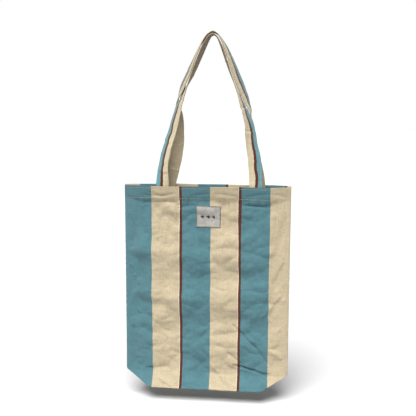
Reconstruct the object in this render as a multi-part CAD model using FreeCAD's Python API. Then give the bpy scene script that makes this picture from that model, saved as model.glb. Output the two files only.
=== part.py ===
"""Striped canvas tote bag, hanging from a hook by its two shoulder handles.

Millimetres, +Z up. The bag's front faces -Y. The origin is where a hook bears on the underside
of the front handle's crown, so everything else hangs below it.
"""
import math
import os

import FreeCAD
import Part

V = FreeCAD.Vector

# ---- driving dimensions -------------------------------------------------------------------
canvas = 1.2              # thickness of the cloth
seam_gap = 0.1            # half the space between front and back cloth at a seam
bag_x = -12.0             # the bag hangs a little to the left of the hook
half_width = 178.0        # of the flat bag, to the side seam
hem_top = -313.0          # top edge of the front hem, so the drop of the handles
back_rise = 2.0           # the back hem sits this much higher
fold_drop = 411.0         # from the hem down to the level where the side seams end
mouth_depth = 18.0        # from the middle plane to the front of the hem
fold_depth = 11.0         # the same at the level where the side seams end
mouth_flat = 120.0        # half the flat middle stretch of the mouth
fold_flat = 125.0
gusset = 50.0             # half the depth of the boxed bottom, when it is opened out
base_depth = 30.0         # from the middle plane to the front edge of the half-open base
base_half = 122.0         # half the length of the base
hem_depth = 27.0
hem_stitch_drop = 25.5    # the hem's lower row of stitches, below the top edge
top_stitch_drop = 4.0     # and its upper row
thread = 0.4              # how far a row of stitches stands proud
lift = 0.05               # and how far it starts clear of the cloth
thread_width = 0.9
allowance = 8.0           # seam allowance inside the bag

label_width = 53.0
label_height = 46.0
label_thick = 0.6
label_x = -8.0
label_z = -376.5
label_turn = -1.0         # degrees, clockwise as seen from the front

strap_width = 28.0
strap_thick = 2.5
steps = 3                 # pieces of strap between one station and the next
edge_row_inset = 2.2      # the strap's edge stitching, in from its edges
pivot_rise = 1.5          # the handles turn about a line this far above the hem
tab_length = 25.0         # the strap end that is sewn inside the hem
tab_gap = 0.3             # between the strap's moving part and its sewn end
corner_radius = 0.5       # the base's front corners are cut off by this much
label_stitch_inset = 2.0

side_binding_thick = 1.0
side_binding_inset = 5.0  # from the bag's side edge
side_binding_low = 6.0     # above the fold
side_binding_high = 2.0    # below the turned-in hem
bottom_binding_thick = 2.0
bottom_binding_inset = 10.0
corner_binding_thick = 3.0
corner_binding_length = 5.0
corner_binding_inset = 6.5
binding_lift = 0.3        # above the folded cloth

# ---- worked out from them -----------------------------------------------------------------
fold_z = hem_top - fold_drop
corner_run = math.hypot(gusset, gusset)       # length of a folded corner's edge
corner_in = half_width - base_half
base_z = fold_z - math.sqrt(corner_run**2 - corner_in**2 - base_depth**2)
strap_y = mouth_depth - 2 * canvas - lift - strap_thick / 2     # against the turned-in hem


def seam_end():
    """Where side, bottom and corner seams meet: 50 mm from the fold's end and from the base's corner."""
    reach = math.sqrt(gusset**2 - base_depth**2)
    to_fold = math.hypot(corner_in, fold_z - base_z)
    along = (reach**2 - gusset**2 + to_fold**2) / (2 * to_fold)
    aside = math.sqrt(max(0.0, reach**2 - along**2))
    ux, uz = corner_in / to_fold, (fold_z - base_z) / to_fold
    return base_half + along * ux - aside * uz, base_z + along * uz + aside * ux


seam_x, seam_z = seam_end()


# ---- solids from points -------------------------------------------------------------------
def solid_of(points, triangles):
    faces = []
    for triangle in triangles:
        corners = [points[i] for i in triangle]
        faces.append(Part.Face(Part.makePolygon(corners + corners[:1])))
    shell = Part.Shell(faces)
    solid = Part.Solid(shell)
    if solid.Volume < 0:
        solid.reverse()
    return solid


def thick_sheet(rows, offset):
    """A closed solid between rows of points and the same rows moved by offset."""
    high, wide = len(rows), len(rows[0])
    points = [p for row in rows for p in row]
    points += [p + offset for p in points]
    count = high * wide
    triangles = []

    def quad(a, b, c, d):
        triangles.append((a, b, c))
        triangles.append((a, c, d))

    for i in range(high - 1):
        for j in range(wide - 1):
            a, b, c, d = i * wide + j, i * wide + j + 1, (i + 1) * wide + j + 1, (i + 1) * wide + j
            quad(a, b, c, d)
            quad(a + count, d + count, c + count, b + count)
    top = list(range(wide))
    right = [i * wide + wide - 1 for i in range(1, high)]
    bottom = [(high - 1) * wide + j for j in range(wide - 2, -1, -1)]
    left = [i * wide for i in range(high - 2, 0, -1)]
    rim = top + right + bottom + left
    for a, b in zip(rim, rim[1:] + rim[:1]):
        quad(b, a, a + count, b + count)
    return solid_of(points, triangles)


def wedge(corners, offset):
    """A three-cornered sheet as a solid."""
    points = corners + [p + offset for p in corners]
    sides = [(1, 0, 3), (1, 3, 4), (2, 1, 4), (2, 4, 5), (0, 2, 5), (0, 5, 3)]
    return solid_of(points, [(0, 1, 2), (3, 5, 4)] + sides)


def save(name, shape):
    shape.exportStep("parts/" + name + ".step")


# ---- the two panels -----------------------------------------------------------------------
def outline(half, flat, depth, z, side):
    """One level of a panel's outer face, from its left seam to its right seam."""
    edge = (canvas + seam_gap) * side
    return [
        V(bag_x - half, edge, z),
        V(bag_x - flat, depth * side, z),
        V(bag_x + flat, depth * side, z),
        V(bag_x + half, edge, z),
    ]


def wall_depth(z, side, top):
    """How far the flat middle of a panel stands from the middle plane, at height z."""
    share = (top - z) / (top - fold_z)
    return (mouth_depth + (fold_depth - mouth_depth) * share) * side


def level(z, side, top):
    share = (top - z) / (top - fold_z)
    flat = mouth_flat + (fold_flat - mouth_flat) * share
    return outline(half_width, flat, abs(wall_depth(z, side, top)), z, side)


def panel(side, top):
    """One cut of canvas: wall, turned-in hem, folded lower band, half the base and two corners."""
    inward = V(0, -canvas * side, 0)
    hem_end = level(top - hem_depth, side, top)
    fold = level(fold_z, side, top)
    front_edge = [
        V(bag_x - base_half, base_depth * side, base_z),
        V(bag_x - base_half + corner_radius, base_depth * side, base_z),
        V(bag_x + base_half - corner_radius, base_depth * side, base_z),
        V(bag_x + base_half, base_depth * side, base_z),
    ]
    edge = (canvas + seam_gap) * side
    bottom_seam = [
        V(bag_x - seam_x, edge, seam_z),
        V(bag_x - base_half + corner_radius, edge, seam_z),
        V(bag_x + base_half - corner_radius, edge, seam_z),
        V(bag_x + seam_x, edge, seam_z),
    ]
    wall = thick_sheet([level(top, side, top), hem_end, fold, front_edge], inward)
    base = thick_sheet([front_edge, bottom_seam], inward)
    turned = [[p + inward for p in row[1:3]] for row in (level(top, side, top), hem_end)]
    shape = wall.fuse([base, thick_sheet(turned, inward)])
    for end in (0, -1):
        shape = shape.fuse(wedge([fold[end], front_edge[end], bottom_seam[end]], inward))
    return shape.removeSplitter()


def stitch_row(z, side, top):
    """A row of stitches on the outer face, along the hem."""
    off = V(0, lift * side, 0)
    upper = [p + off for p in level(z + thread_width / 2, side, top)]
    lower = [p + off for p in level(z - thread_width / 2, side, top)]
    return thick_sheet([upper, lower], V(0, thread * side, 0))


# ---- seams inside the bag -----------------------------------------------------------------
def side_seam(direction):
    """Bound seam allowances, lying between the panels just inside a side seam."""
    outer = bag_x + direction * (half_width - side_binding_inset)
    inner = outer - direction * allowance
    low = fold_z + side_binding_low
    high = hem_top - hem_depth - side_binding_high
    corner = V(min(outer, inner), -side_binding_thick / 2, low)
    return Part.makeBox(allowance, side_binding_thick, high - low, corner)


def bottom_seam_binding():
    length = 2 * (seam_x - bottom_binding_inset)
    corner = V(bag_x - length / 2, -bottom_binding_thick / 2, seam_z + binding_lift)
    return Part.makeBox(length, bottom_binding_thick, allowance, corner)


def corner_seam(direction):
    """The short bound seam that makes one bottom corner square, standing above the corner fold."""
    x = bag_x + direction * (seam_x - corner_binding_inset)
    corner = V(x - corner_binding_length / 2, -corner_binding_thick / 2, seam_z + binding_lift)
    return Part.makeBox(corner_binding_length, corner_binding_thick, allowance, corner)


# ---- label --------------------------------------------------------------------------------
def on_front(shape):
    """Turns a flat piece made at the origin, and lays it on the front panel at the label's place."""
    slope = (mouth_depth - fold_depth) / fold_drop
    shape.rotate(V(0, 0, 0), V(0, 1, 0), -label_turn)
    shape.rotate(V(0, 0, 0), V(1, 0, 0), math.degrees(math.atan(slope)))
    shape.translate(V(label_x, wall_depth(label_z, -1, hem_top) - lift, label_z))
    return shape


def label():
    plate = Part.makeBox(label_width, label_thick, label_height,
                         V(-label_width / 2, -label_thick, -label_height / 2))
    return on_front(plate)


def label_stitching():
    """A thin frame of stitches just inside the label's edges."""
    inset = label_stitch_inset
    outer = Part.makeBox(label_width - 2 * inset, thread, label_height - 2 * inset,
                         V(-label_width / 2 + inset, 0, -label_height / 2 + inset))
    hole = inset + thread_width
    inner = Part.makeBox(label_width - 2 * hole, 3 * thread, label_height - 2 * hole,
                         V(-label_width / 2 + hole, -thread, -label_height / 2 + hole))
    frame = outer.cut(inner)
    frame.translate(V(0, -label_thick - thread - lift, 0))
    return on_front(frame)


# ---- handles ------------------------------------------------------------------------------
# Each handle is a flat strap. Its stations say where its middle is and how far it has turned:
# at 0 degrees its striped face looks forward, at 90 outward, at 180 backward.
# Station: height, x, y, turn. Going up, the straps turn edge on, and the back one passes round
# the outside of the front one, so that its crown lies over the front one's.
front_left = [
    (hem_top + pivot_rise, -105.5, -strap_y, 0),
    (-275, -103.5, -13.5, 34),
    (-235, -96, -13, 42),
    (-195, -84.5, -12.5, 45),
    (-160, -74.5, -12, 50),
    (-145, -70.3, -11.5, 58),
    (-130, -63.8, -10.4, 67),
    (-105, -54.4, -6, 82),
    (-80, -43.5, -2.5, 94),
    (-50, -31, -0.5, 100),
    (-25, -20, 0, 101),
    (-8, -11, 0, 96),
    (-1.5, -6, 0, 91),
]
front_right = [
    (hem_top + pivot_rise, 92, -strap_y, 0),
    (-265, 89.5, -13.5, 14),
    (-220, 82.8, -13.5, 38),
    (-200, 79.5, -13.5, 45),
    (-180, 76, -13.5, 55),
    (-160, 69, -14, 64),
    (-140, 61, -11.3, 76),
    (-120, 53.5, -6.6, 87),
    (-85, 39.2, -2, 95),
    (-50, 26.8, 0, 99),
    (-25, 17.8, 0, 99),
    (-8, 10, 0, 95),
    (-1.5, 5.5, 0, 91),
]
back_left = [
    (hem_top + back_rise + pivot_rise, -95, strap_y, 180),
    (-275, -86.5, 13.5, 160),
    (-235, -77.5, 13.5, 150),
    (-195, -74.5, 14.5, 134),
    (-160, -74.5, 17.5, 112),
    (-145, -78, 20, 97),
    (-130, -76.8, 15, 84),
    (-105, -66.6, 6.4, 66),
    (-80, -53.5, 0.5, 66),
    (-50, -40.5, -2.5, 74),
    (-25, -29.5, -2, 79),
    (-8, -19, -1, 86),
    (1, -11, 0, 90),
]
back_right = [
    (hem_top + back_rise + pivot_rise, 97, strap_y, 180),
    (-265, 90, 14, 165),
    (-220, 80.5, 14.5, 150),
    (-200, 76, 15.5, 138),
    (-180, 74.5, 18, 115),
    (-160, 78, 18.5, 93),
    (-150, 76.8, 15.4, 84),
    (-140, 72.8, 11.3, 75),
    (-120, 64.5, 6, 65),
    (-85, 50.2, -0.5, 62),
    (-50, 36.7, -2.5, 72),
    (-25, 26.2, -2, 79),
    (-8, 16.5, -1, 86),
    (1, 10, 0, 90),
]
crown_gap = strap_thick
front_crown = strap_thick / 2
back_crown = front_crown + strap_thick + crown_gap


def smooth(values, i, share):
    """A point between values i and i + 1, on a curve that passes smoothly through all of them."""
    before = values[max(0, i - 1)]
    after = values[min(len(values) - 1, i + 2)]
    start, end = values[i], values[i + 1]
    leave, arrive = (end - before) / 2, (after - start) / 2
    s2, s3 = share**2, share**3
    return (start * (2 * s3 - 3 * s2 + 1) + leave * (s3 - 2 * s2 + share)
            + end * (3 * s2 - 2 * s3) + arrive * (s3 - s2))


def sections(left, right, crown):
    """Middle point, width direction and face direction along the strap, from left to right."""
    middles = [V(x, y, z) for z, x, y, turn in left]
    turns = [turn for z, x, y, turn in left]
    middles += [V(0, 0, crown)] + [V(x, y, z) for z, x, y, turn in reversed(right)]
    turns += [90] + [180 - turn for z, x, y, turn in reversed(right)]
    stations = []
    for i in range(len(middles) - 1):
        for k in range(steps):
            across = math.radians(smooth(turns, i, k / steps))
            stations.append((smooth(middles, i, k / steps), V(math.cos(across), -math.sin(across), 0)))
    stations.append((middles[-1], V(math.cos(math.radians(turns[-1])), 0, 0)))
    result = []
    last = len(stations) - 1
    for i, (middle, width) in enumerate(stations):
        before, after = stations[max(0, i - 1)][0], stations[min(last, i + 1)][0]
        along = (after - before).normalize()
        if i in (0, last):
            along = V(0, 0, 1 if i == 0 else -1)
        width = (width - along * width.dot(along)).normalize()
        result.append((middle, width, width.cross(along)))
    return result


def ribbon(rows, half, low, high):
    """A solid band along the strap: half its width, and from low to high through its thickness."""
    rings = []
    for middle, width, face in rows:
        rings.append([
            middle - width * half[0] + face * low,
            middle + width * half[1] + face * low,
            middle + width * half[1] + face * high,
            middle - width * half[0] + face * high,
        ])
    points = [p for ring in rings for p in ring]
    triangles = [(0, 2, 1), (0, 3, 2)]
    for i in range(len(rings) - 1):
        for j in range(4):
            a, b = 4 * i + j, 4 * i + (j + 1) % 4
            triangles += [(a, b, b + 4), (a, b + 4, a + 4)]
    end = 4 * (len(rings) - 1)
    triangles += [(end, end + 1, end + 2), (end, end + 2, end + 3)]
    return solid_of(points, triangles)


def strap(rows):
    return ribbon(rows, (strap_width / 2, strap_width / 2), -strap_thick / 2, strap_thick / 2)


def edge_rows(rows):
    """The two rows of stitches near the strap's edges, on its striped face."""
    middle = strap_width / 2 - edge_row_inset
    outside = strap_thick / 2 + lift
    near = middle - thread_width / 2
    far = middle + thread_width / 2
    first = ribbon(rows, (far, -near), outside, outside + thread)
    second = ribbon(rows, (-near, far), outside, outside + thread)
    return Part.makeCompound([first, second])


def tab(x, side, top):
    """A strap end inside the hem."""
    rows = []
    for z in (top + pivot_rise - tab_gap, top - tab_length):
        face = wall_depth(z, side, top) - (2 * canvas + lift) * side
        rows.append([V(x - strap_width / 2, face, z), V(x + strap_width / 2, face, z)])
    return thick_sheet(rows, V(0, -strap_thick * side, 0))


# ---- build and save -----------------------------------------------------------------------
os.makedirs("parts", exist_ok=True)
back_top = hem_top + back_rise
for name, side, top in (("front", -1, hem_top), ("back", 1, back_top)):
    save(name + "_panel", panel(side, top))
    save(name + "_hem_stitching", stitch_row(top - hem_stitch_drop, side, top))
    save(name + "_top_stitching", stitch_row(top - top_stitch_drop, side, top))
for name, direction in (("left", -1), ("right", 1)):
    save(name + "_side_seam_binding", side_seam(direction))
    save(name + "_corner_seam_binding", corner_seam(direction))
save("bottom_seam_binding", bottom_seam_binding())
save("label", label())
save("label_stitching", label_stitching())

handles = (
    ("front", -1, hem_top, front_left, front_right, front_crown),
    ("back", 1, back_top, back_left, back_right, back_crown),
)
for name, side, top, left, right, crown in handles:
    rows = sections(left, right, crown)
    save(name + "_handle", strap(rows))
    save(name + "_handle_edge_stitching", edge_rows(rows))
    save(name + "_handle_left_end", tab(left[0][1], side, top))
    save(name + "_handle_right_end", tab(right[0][1], side, top))
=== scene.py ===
"""The looks of the hanging canvas tote bag: cloth panels, hems, straps, label, seams and stitches."""
import math

import bpy
import numpy as np
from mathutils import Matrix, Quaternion, Vector, noise


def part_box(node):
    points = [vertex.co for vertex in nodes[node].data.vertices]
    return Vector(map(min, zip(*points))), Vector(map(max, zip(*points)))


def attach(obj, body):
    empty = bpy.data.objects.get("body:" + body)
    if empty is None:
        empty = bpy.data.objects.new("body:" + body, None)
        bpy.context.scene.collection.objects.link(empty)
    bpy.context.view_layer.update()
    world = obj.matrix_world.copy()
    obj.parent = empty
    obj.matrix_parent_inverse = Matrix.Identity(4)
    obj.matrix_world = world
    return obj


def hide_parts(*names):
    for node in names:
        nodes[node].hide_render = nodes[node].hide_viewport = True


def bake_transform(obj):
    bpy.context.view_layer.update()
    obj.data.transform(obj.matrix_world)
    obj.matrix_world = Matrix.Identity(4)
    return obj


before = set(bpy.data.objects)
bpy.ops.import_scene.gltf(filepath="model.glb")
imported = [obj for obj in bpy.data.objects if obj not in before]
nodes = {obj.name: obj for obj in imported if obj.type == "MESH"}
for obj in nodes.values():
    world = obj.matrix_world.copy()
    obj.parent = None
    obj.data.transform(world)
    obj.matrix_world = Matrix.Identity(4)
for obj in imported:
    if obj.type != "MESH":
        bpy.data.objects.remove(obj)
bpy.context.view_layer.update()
MM = 0.001


def points_of(node):
    return np.array([v.co for v in nodes[node].data.vertices], float)


def measure_bag():
    """The bag's sizes, read from its packed panels, in metres."""
    front = points_of("front_panel")
    low, high = front.min(0), front.max(0)
    side_edge = front[np.abs(front[:, 0] - low[0]) < 0.1 * MM]
    foot = front[np.abs(front[:, 2] - low[2]) < 0.5 * MM]
    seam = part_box("bottom_seam_binding")
    return {
        "x": (low[0] + high[0]) / 2,
        "half": (high[0] - low[0]) / 2,
        "top": {-1: high[2], 1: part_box("back_panel")[1].z},
        "fold": side_edge[:, 2].min(),
        "foot": low[2],
        "foot_half": (foot[:, 0].max() - foot[:, 0].min()) / 2,
        "foot_depth": -low[1],
        "mouth": -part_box("front_top_stitching")[0].y - 0.4 * MM,
        "seam_z": seam[0].z,
        "seam_half": seam[1].x - (low[0] + high[0]) / 2 + 10 * MM,
        "hem_row": high[2] - sum(b.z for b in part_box("front_hem_stitching")) / 2,
        "top_row": high[2] - sum(b.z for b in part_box("front_top_stitching")) / 2,
    }


bag = measure_bag()
CLOTH = 1.1 * MM            # thickness of the canvas
HEM = bag["hem_row"] + 1.6 * MM
FOLD_DEPTH = 11 * MM        # how far the wall stands from the middle plane, at the fold level
SEAM_GAP = 0.7 * MM         # how far each cut stands from the middle plane at a seam
WALL = bag["top"][-1] - bag["fold"]
BAND = math.hypot(bag["fold"] - bag["foot"], bag["foot_depth"] - FOLD_DEPTH)
BASE = math.hypot(bag["foot_depth"], bag["seam_z"] - bag["foot"])

# ---- small helpers ----


def mesh_object(name, points, faces, uv=None):
    """A smooth mesh with the cloth's flat coordinates, in metres, in its UV map."""
    mesh = bpy.data.meshes.new(name)
    mesh.from_pydata([tuple(p) for p in points], [], faces)
    mesh.update()
    if uv is not None:
        layer = mesh.uv_layers.new(name="cloth")
        corners = np.zeros(len(mesh.loops), np.int32)
        mesh.loops.foreach_get("vertex_index", corners)
        layer.data.foreach_set("uv", np.asarray(uv, np.float32)[corners].ravel())
    mesh.polygons.foreach_set("use_smooth", [True] * len(mesh.polygons))
    obj = bpy.data.objects.new(name, mesh)
    bpy.context.scene.collection.objects.link(obj)
    return obj


def grid_faces(high, wide, start=0, close=False):
    """Quads between rows of points; close joins each row's end to its start."""
    faces = []
    across = wide if close else wide - 1
    for i in range(high - 1):
        for j in range(across):
            k = (j + 1) % wide
            a, b = start + i * wide + j, start + i * wide + k
            faces.append((a, a + wide, b + wide, b))
    return faces


def smoothstep(x, low, high):
    t = np.clip((x - low) / (high - low), 0, 1)
    return t * t * (3 - 2 * t)


def bell(x, width):
    return np.exp(-(x / width) ** 2)


def unit(vectors):
    return vectors / np.linalg.norm(vectors, axis=-1, keepdims=True)


def outward_normals(grid, side):
    """Unit normals of a grid of points on one cut, by central differences, facing out."""
    normal = unit(np.cross(np.gradient(grid, axis=1), np.gradient(grid, axis=0)))
    return normal * np.sign(side * normal[..., 1].mean())


def smoothed(grid, times, axis=0):
    """A grid with each inner row, or column, eased towards its neighbours."""
    out = np.swapaxes(grid.copy(), 0, axis)
    for _ in range(times):
        out[1:-1] = 0.25 * out[:-2] + 0.5 * out[1:-1] + 0.25 * out[2:]
    return np.swapaxes(out, 0, axis)


def cubic_weights(at, count):
    """The four neighbours of each fractional place in a row, and their weights."""
    at = np.clip(np.atleast_1d(at), 0, count - 1.000001)
    first = np.floor(at).astype(int)
    f = at - first
    ids = [np.clip(first + k, 0, count - 1) for k in (-1, 0, 1, 2)]
    weights = [
        (-f + 2 * f**2 - f**3) / 2,
        (2 - 5 * f**2 + 3 * f**3) / 2,
        (f + 4 * f**2 - 3 * f**3) / 2,
        (f**3 - f**2) / 2,
    ]
    return list(zip(ids, weights))


def sample(grid, rows, columns):
    """A grid of values read smoothly at fractional rows and columns."""
    out = 0
    for a, wa in cubic_weights(rows, grid.shape[0]):
        for b, wb in cubic_weights(columns, grid.shape[1]):
            out = out + grid[a[:, None], b[None, :]] * (wa[:, None] * wb[None, :])[..., None]
    return out


def thicken(obj, thickness, offset=-1.0):
    solid = obj.modifiers.new("thickness", "SOLIDIFY")
    solid.thickness = thickness
    solid.offset = offset
    solid.use_even_offset = False


def finish_piece(obj, material, replaced, body="bag"):
    """Gives a piece its material and slot, the nodes that it stands for, and its body."""
    obj.data.materials.append(material)
    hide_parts(*replaced)
    if body:
        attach(obj, body)


# ---- node materials ----


class Nodes:
    """Short names for building the node tree of a material or a world."""

    def __init__(self, owner, shader="Principled BSDF"):
        owner.use_nodes = True
        self.owner = owner
        self.tree = owner.node_tree
        self.shader = self.tree.nodes[shader]

    def add(self, kind, **values):
        node = self.tree.nodes.new(kind)
        for key, value in values.items():
            setattr(node, key, value)
        return node

    def join(self, source, target):
        self.tree.links.new(source, target)

    def feed(self, value, socket):
        if isinstance(value, (int, float, tuple)):
            socket.default_value = value
        else:
            self.join(value, socket)

    def math(self, operation, a, b=0.0):
        node = self.add("ShaderNodeMath", operation=operation)
        self.feed(a, node.inputs[0])
        self.feed(b, node.inputs[1])
        return node.outputs[0]

    def plus(self, a, b):
        return self.math("ADD", a, b)

    def minus(self, a, b):
        return self.math("SUBTRACT", a, b)

    def times(self, a, b):
        return self.math("MULTIPLY", a, b)

    def ramp(self, value, low, high, out_low=0.0, out_high=1.0):
        node = self.add("ShaderNodeMapRange", interpolation_type="SMOOTHSTEP")
        for k, v in enumerate((value, low, high, out_low, out_high)):
            self.feed(v, node.inputs[k])
        return node.outputs[0]

    def mix(self, share, a, b):
        node = self.add("ShaderNodeMix", data_type="RGBA")
        self.feed(share, node.inputs[0])
        self.feed(a, node.inputs[6])
        self.feed(b, node.inputs[7])
        return node.outputs[2]

    def noise(self, vector, scale, detail=2.0, rough=0.5):
        node = self.add("ShaderNodeTexNoise")
        self.join(vector, node.inputs["Vector"])
        node.inputs["Scale"].default_value = scale
        node.inputs["Detail"].default_value = detail
        node.inputs["Roughness"].default_value = rough
        return node.outputs["Fac"]

    def stretched(self, vector, x, y):
        node = self.add("ShaderNodeMapping")
        self.join(vector, node.inputs["Vector"])
        node.inputs["Scale"].default_value = (x, y, 1.0)
        return node.outputs["Vector"]

    def bump(self, height, distance, strength=1.0, normal=None):
        node = self.add("ShaderNodeBump")
        node.inputs["Strength"].default_value = strength
        node.inputs["Distance"].default_value = distance
        self.join(height, node.inputs["Height"])
        if normal is not None:
            self.join(normal, node.inputs["Normal"])
        return node.outputs["Normal"]

    def surface(self, name, value):
        """Sets one input of the surface, to a value or to another node's output."""
        self.feed(value, self.shader.inputs[name])

    def scaled(self, colour, share):
        """A colour made lighter or darker."""
        node = self.add("ShaderNodeVectorMath", operation="SCALE")
        self.join(colour, node.inputs[0])
        self.join(share, node.inputs["Scale"])
        return node.outputs[0]

    def cloth(self):
        """The cloth's flat coordinates, and the same as separate numbers, across and down."""
        uv = self.add("ShaderNodeUVMap", uv_map="cloth").outputs["UV"]
        across, down, _ = self.parts(uv)
        return uv, across, down

    def parts(self, vector):
        node = self.add("ShaderNodeSeparateXYZ")
        self.join(vector, node.inputs[0])
        return node.outputs


def new_material(name):
    return Nodes(bpy.data.materials.new(name))


def linear(r, g, b):
    """A screen colour, 11 to 255, as the linear colour that a shader takes."""
    return tuple(((c / 255 + 0.055) / 1.055) ** 2.4 for c in (r, g, b)) + (1.0,)


BLUE = linear(68, 105, 112)
CREAM = linear(166, 153, 127)
RUST = linear(72, 31, 14)
PALE_LINE = linear(212, 200, 176)
THREAD = linear(190, 178, 150)
STRAP_BLUE = linear(86, 125, 132)
STRAP_CREAM = linear(180, 168, 140)
# painted shade for the strap near its crown
STRAP_CROWN_SHADE = linear(104, 87, 66)
LABEL_GROUND = linear(146, 144, 138)
LABEL_MARK = linear(52, 50, 48)
# painted shade along the label's edge
LABEL_EDGE_SHADE = linear(78, 74, 66)
# painted shade in the dip along the label's stitches
LABEL_SEAM_SHADE = linear(96, 92, 84)
LABEL_THREAD = linear(150, 146, 136)
BINDING = linear(196, 184, 158)
CANVAS_YARNS, LABEL_YARNS, BINDING_YARNS = 1150, 2600, 1800     # per metre, each way
CANVAS_GRAIN, LABEL_GRAIN = 0.22 * MM, 0.1 * MM                 # height of the weave


def woven(n, colour, yarns=CANVAS_YARNS, grain=CANVAS_GRAIN):
    """Plain weave over a colour: yarns over and under, uneven yarns, soft mottling and fuzz."""
    uv, across, down = n.cloth()
    turn = math.pi * yarns
    warp = n.math("SINE", n.times(across, turn))
    weft = n.math("SINE", n.times(down, turn))
    checker = n.times(warp, weft)
    height = n.plus(n.times(checker, 0.5), 0.5)
    slub_across = n.noise(n.stretched(uv, 40.0, 560.0), 1.0, 2.0, 0.6)
    slub_down = n.noise(n.stretched(uv, 560.0, 40.0), 1.0, 2.0, 0.6)
    slubs = n.plus(slub_across, slub_down)
    mottle = n.noise(n.stretched(uv, 1.0, 1.4), 34.0, 6.0, 0.72)
    fleck = n.noise(uv, 330.0, 4.0, 0.75)
    shade = n.plus(n.ramp(slubs, 0.6, 1.4, 0.9, 1.1), n.ramp(mottle, 0.3, 0.7, -0.07, 0.07))
    shade = n.plus(shade, n.ramp(fleck, 0.3, 0.7, -0.11, 0.11))
    # Painted shade: the weave's low places are made a little darker.
    shade = n.times(shade, n.ramp(height, 0.0, 1.0, 0.93, 1.03))
    n.surface("Base Color", n.scaled(colour, shade))
    n.surface("Roughness", n.ramp(fleck, 0.2, 0.8, 0.82, 0.95))
    yarn = n.bump(height, grain)
    n.surface("Normal", n.bump(slubs, 0.6 * MM, 0.5, yarn))
    n.surface("Specular IOR Level", 0.18)
    n.surface("Sheen Weight", 0.12)
    n.surface("Sheen Roughness", 0.6)


def striped(n, position, edges, colours, period=None):
    """Stripes across a coordinate. edges are where each colour starts, over one period."""
    ragged, blur = 0.4 * MM, 0.18 * MM
    uv, _, _ = n.cloth()
    wobble = n.noise(n.stretched(uv, 60.0, 500.0), 1.0, 2.0, 0.7)
    value = n.plus(position, n.ramp(wobble, 0.0, 1.0, -ragged, ragged))
    if period:
        value = n.minus(value, edges[0])
        repeats = n.math("FLOOR", n.math("DIVIDE", value, period))
        value = n.minus(value, n.times(repeats, period))
        value = n.plus(value, edges[0])
    colour = colours[0]
    for edge, after in zip(edges[1:], colours[1:]):
        colour = n.mix(n.ramp(value, edge - blur, edge + blur), colour, after)
    return colour


BLUE_WIDE, CREAM_WIDE, RUST_WIDE, PALE_WIDE = 60.2 * MM, 60.3 * MM, 5.6 * MM, 0.9 * MM


def canvas_material(name, shift, mirrored):
    """The bag's striped canvas: blue, cream, a narrow rust stripe with a pale line beside it."""
    n = new_material(name)
    _, u, v = n.cloth()
    if mirrored:
        u = n.times(u, -1.0)
    pair = shift + BLUE_WIDE + CREAM_WIDE
    edges = [shift, shift + BLUE_WIDE, pair - PALE_WIDE, pair]
    period = BLUE_WIDE + CREAM_WIDE + RUST_WIDE
    colour = striped(n, u, edges, [BLUE, CREAM, PALE_LINE, RUST], period)
    # The hem, and the cloth turned in behind it, are coloured darker than the body.
    hem_darker = n.ramp(v, HEM - 1 * MM, HEM + 1 * MM, 0.88, 1.0)
    woven(n, n.scaled(colour, hem_darker))
    return n.owner


STRAP = 28 * MM
PLAIN_SIDE = 60 * MM        # where the strap's plain face starts in its flat coordinates
STRAP_MIDDLE = 360 * MM     # about half of a strap's length


def strap_material():
    """Blue, rust and cream across one face; cream on the other, with painted shade towards the crown, most
    on the plain underside.
    """
    n = new_material("handle_canvas")
    uv, across, down = n.cloth()
    lie = n.noise(n.stretched(uv, 0.0, 30.0), 1.0, 2.0, 0.6)
    drift = n.ramp(lie, 0.3, 0.7, -1.1 * MM, 1.1 * MM)
    edges = [-1.0, 9.8 * MM, 15.6 * MM, STRAP + 2 * MM]
    colours = [STRAP_BLUE, RUST, STRAP_CREAM, CREAM]
    colour = striped(n, n.plus(across, drift), edges, colours)
    # Painted shade: the strap darkens towards its crown, a little on the striped face and most on the plain
    # underside.
    away = n.math("ABSOLUTE", n.minus(down, STRAP_MIDDLE))
    near_crown = n.ramp(away, 90 * MM, 270 * MM, 1.0, 0.0)
    behind = n.ramp(across, STRAP + 4 * MM, STRAP + 6 * MM)
    crown_shade = n.times(near_crown, n.ramp(behind, 0.0, 1.0, 0.18, 0.85))
    woven(n, n.mix(crown_shade, colour, STRAP_CROWN_SHADE))
    return n.owner


def binding_material():
    n = new_material("binding_cotton")
    rgb = n.add("ShaderNodeRGB")
    rgb.outputs[0].default_value = BINDING
    woven(n, rgb.outputs[0], BINDING_YARNS)
    return n.owner


def thread_material(name, colour):
    """Twisted sewing thread."""
    n = new_material(name)
    place = n.add("ShaderNodeTexCoord").outputs["Object"]
    fuzz = n.noise(place, 900.0, 3.0, 0.7)
    twist = n.add("ShaderNodeTexWave", wave_type="BANDS", bands_direction="DIAGONAL")
    n.join(place, twist.inputs["Vector"])
    twist.inputs["Scale"].default_value = 900.0
    twist.inputs["Distortion"].default_value = 1.5
    dark = tuple(0.72 * c for c in colour[:3]) + (1.0,)
    n.surface("Base Color", n.mix(n.ramp(fuzz, 0.3, 0.7), dark, colour))
    n.surface("Roughness", n.ramp(fuzz, 0.2, 0.8, 0.55, 0.8))
    n.surface("Normal", n.bump(twist.outputs["Fac"], 0.12 * MM))
    n.surface("Specular IOR Level", 0.3)
    return n.owner


LABEL_WIDE, LABEL_TALL, LABEL_INSET = 52.9 * MM, 46 * MM, 2.3 * MM


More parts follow.
